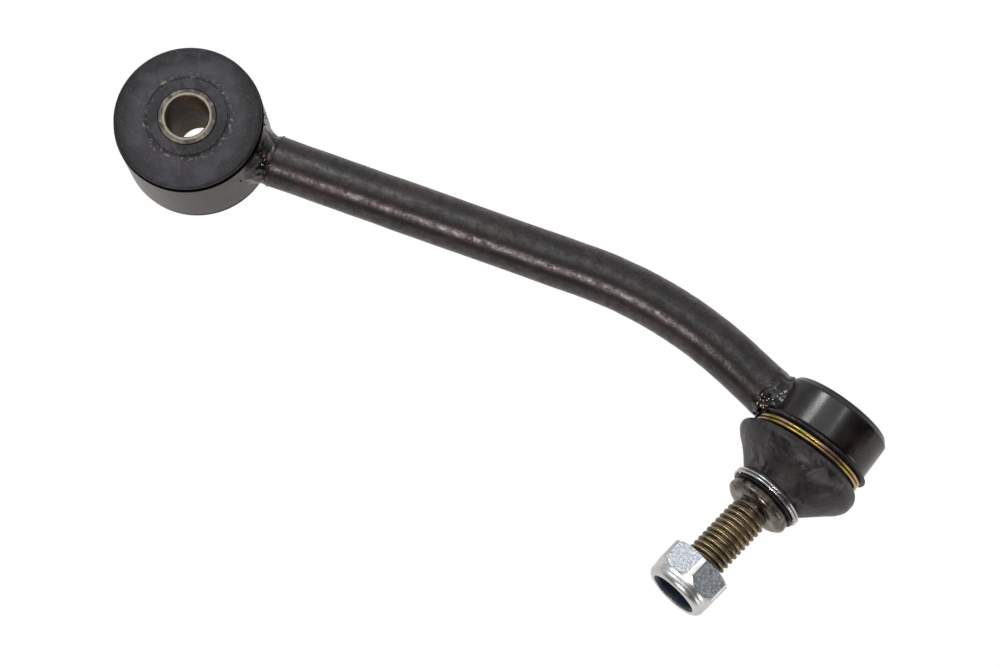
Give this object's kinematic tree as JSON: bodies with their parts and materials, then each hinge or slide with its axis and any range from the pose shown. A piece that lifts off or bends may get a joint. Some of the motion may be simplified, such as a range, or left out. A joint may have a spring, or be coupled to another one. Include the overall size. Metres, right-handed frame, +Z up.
{
  "type": "stabilizer link",
  "caption": "Bent round bar with a rubber bush in a welded eye at one end and a sealed ball joint with a threaded stud and lock nut at the other.",
  "frame": {"origin": "middle of the bottom of the overall box, the link lying flat", "axes": "+X along the link from the bush to the ball joint, +Z up along the bush's bolt hole"},
  "size_m": [0.204, 0.0708, 0.0327],
  "materials": {
    "bare_steel": "turned, lightly oiled",
    "acetal": "moulded acetal",
    "yellow_zinc": "yellow zinc plate",
    "spring_steel": "bright drawn wire",
    "black_paint": "semi-gloss black paint",
    "rubber": "matt moulded rubber",
    "passivated_steel": "passivated, brownish",
    "weld_paint": "glossy black paint over weld metal",
    "bright_zinc": "bright zinc plate",
    "nylon": "dark blue nylon"
  },
  "bodies": {
    "link": {"bush_eye": "black_paint", "bush_rubber": "rubber", "eye_weld": "weld_paint", "link_bar": "black_paint", "housing_weld": "weld_paint", "joint_housing": "black_paint", "housing_cap": "black_paint", "ball_seat": "acetal", "boot_clamp_ring": "yellow_zinc"},
    "sleeve": {"bush_sleeve": "passivated_steel"},
    "boot": {"dust_boot": "rubber"},
    "neck_ring": {"boot_neck_ring": "spring_steel"},
    "stud": {"ball_pin": "bare_steel"},
    "insert": {"nut_insert": "nylon"},
    "nut": {"hex_nut": "bright_zinc"}
  },
  "joints": [
    {"name": "bush_twist", "type": "hinge", "parent": "link", "child": "sleeve", "pos_m": [-0.08355, 0.01633, 0.01611], "axis": [0, 0, 1], "range_deg": [-20, 20], "stiffness_Nm_per_rad": 5},
    {"name": "ball_swing_in", "type": "hinge", "parent": "link", "child": "boot", "pos_m": [0.08651, 0.01387, 0.01611], "axis": [0, 0, 1], "range_deg": [-10.8, 23.2], "deforming": ["dust_boot"]},
    {"name": "ball_swing_out", "type": "hinge", "parent": "boot", "child": "neck_ring", "pos_m": [0.08651, 0.01387, 0.01611], "axis": [-0.9598, 0.2807, 0], "range_deg": [-22.5, 11.5], "deforming": ["dust_boot"]},
    {"name": "stud_spin", "type": "hinge", "parent": "neck_ring", "child": "stud", "pos_m": [0.08651, 0.01387, 0.01611], "axis": [-0.2794, -0.9554, 0.0958], "continuous": true},
    {"name": "nut_travel", "type": "slide", "parent": "stud", "child": "insert", "axis": [0.2794, 0.9554, -0.0958], "range_m": [-0.00562, 0.01787]},
    {"name": "nut_turn", "type": "hinge", "parent": "insert", "child": "nut", "pos_m": [0.07546, -0.02391, 0.0199], "axis": [0.2794, 0.9554, -0.0958], "range_deg": [-1350, 4290]}
  ],
  "couplings": [
    {"joint": "nut_turn", "follows": "nut_travel", "rad_per_m": 4188.8}
  ]
}
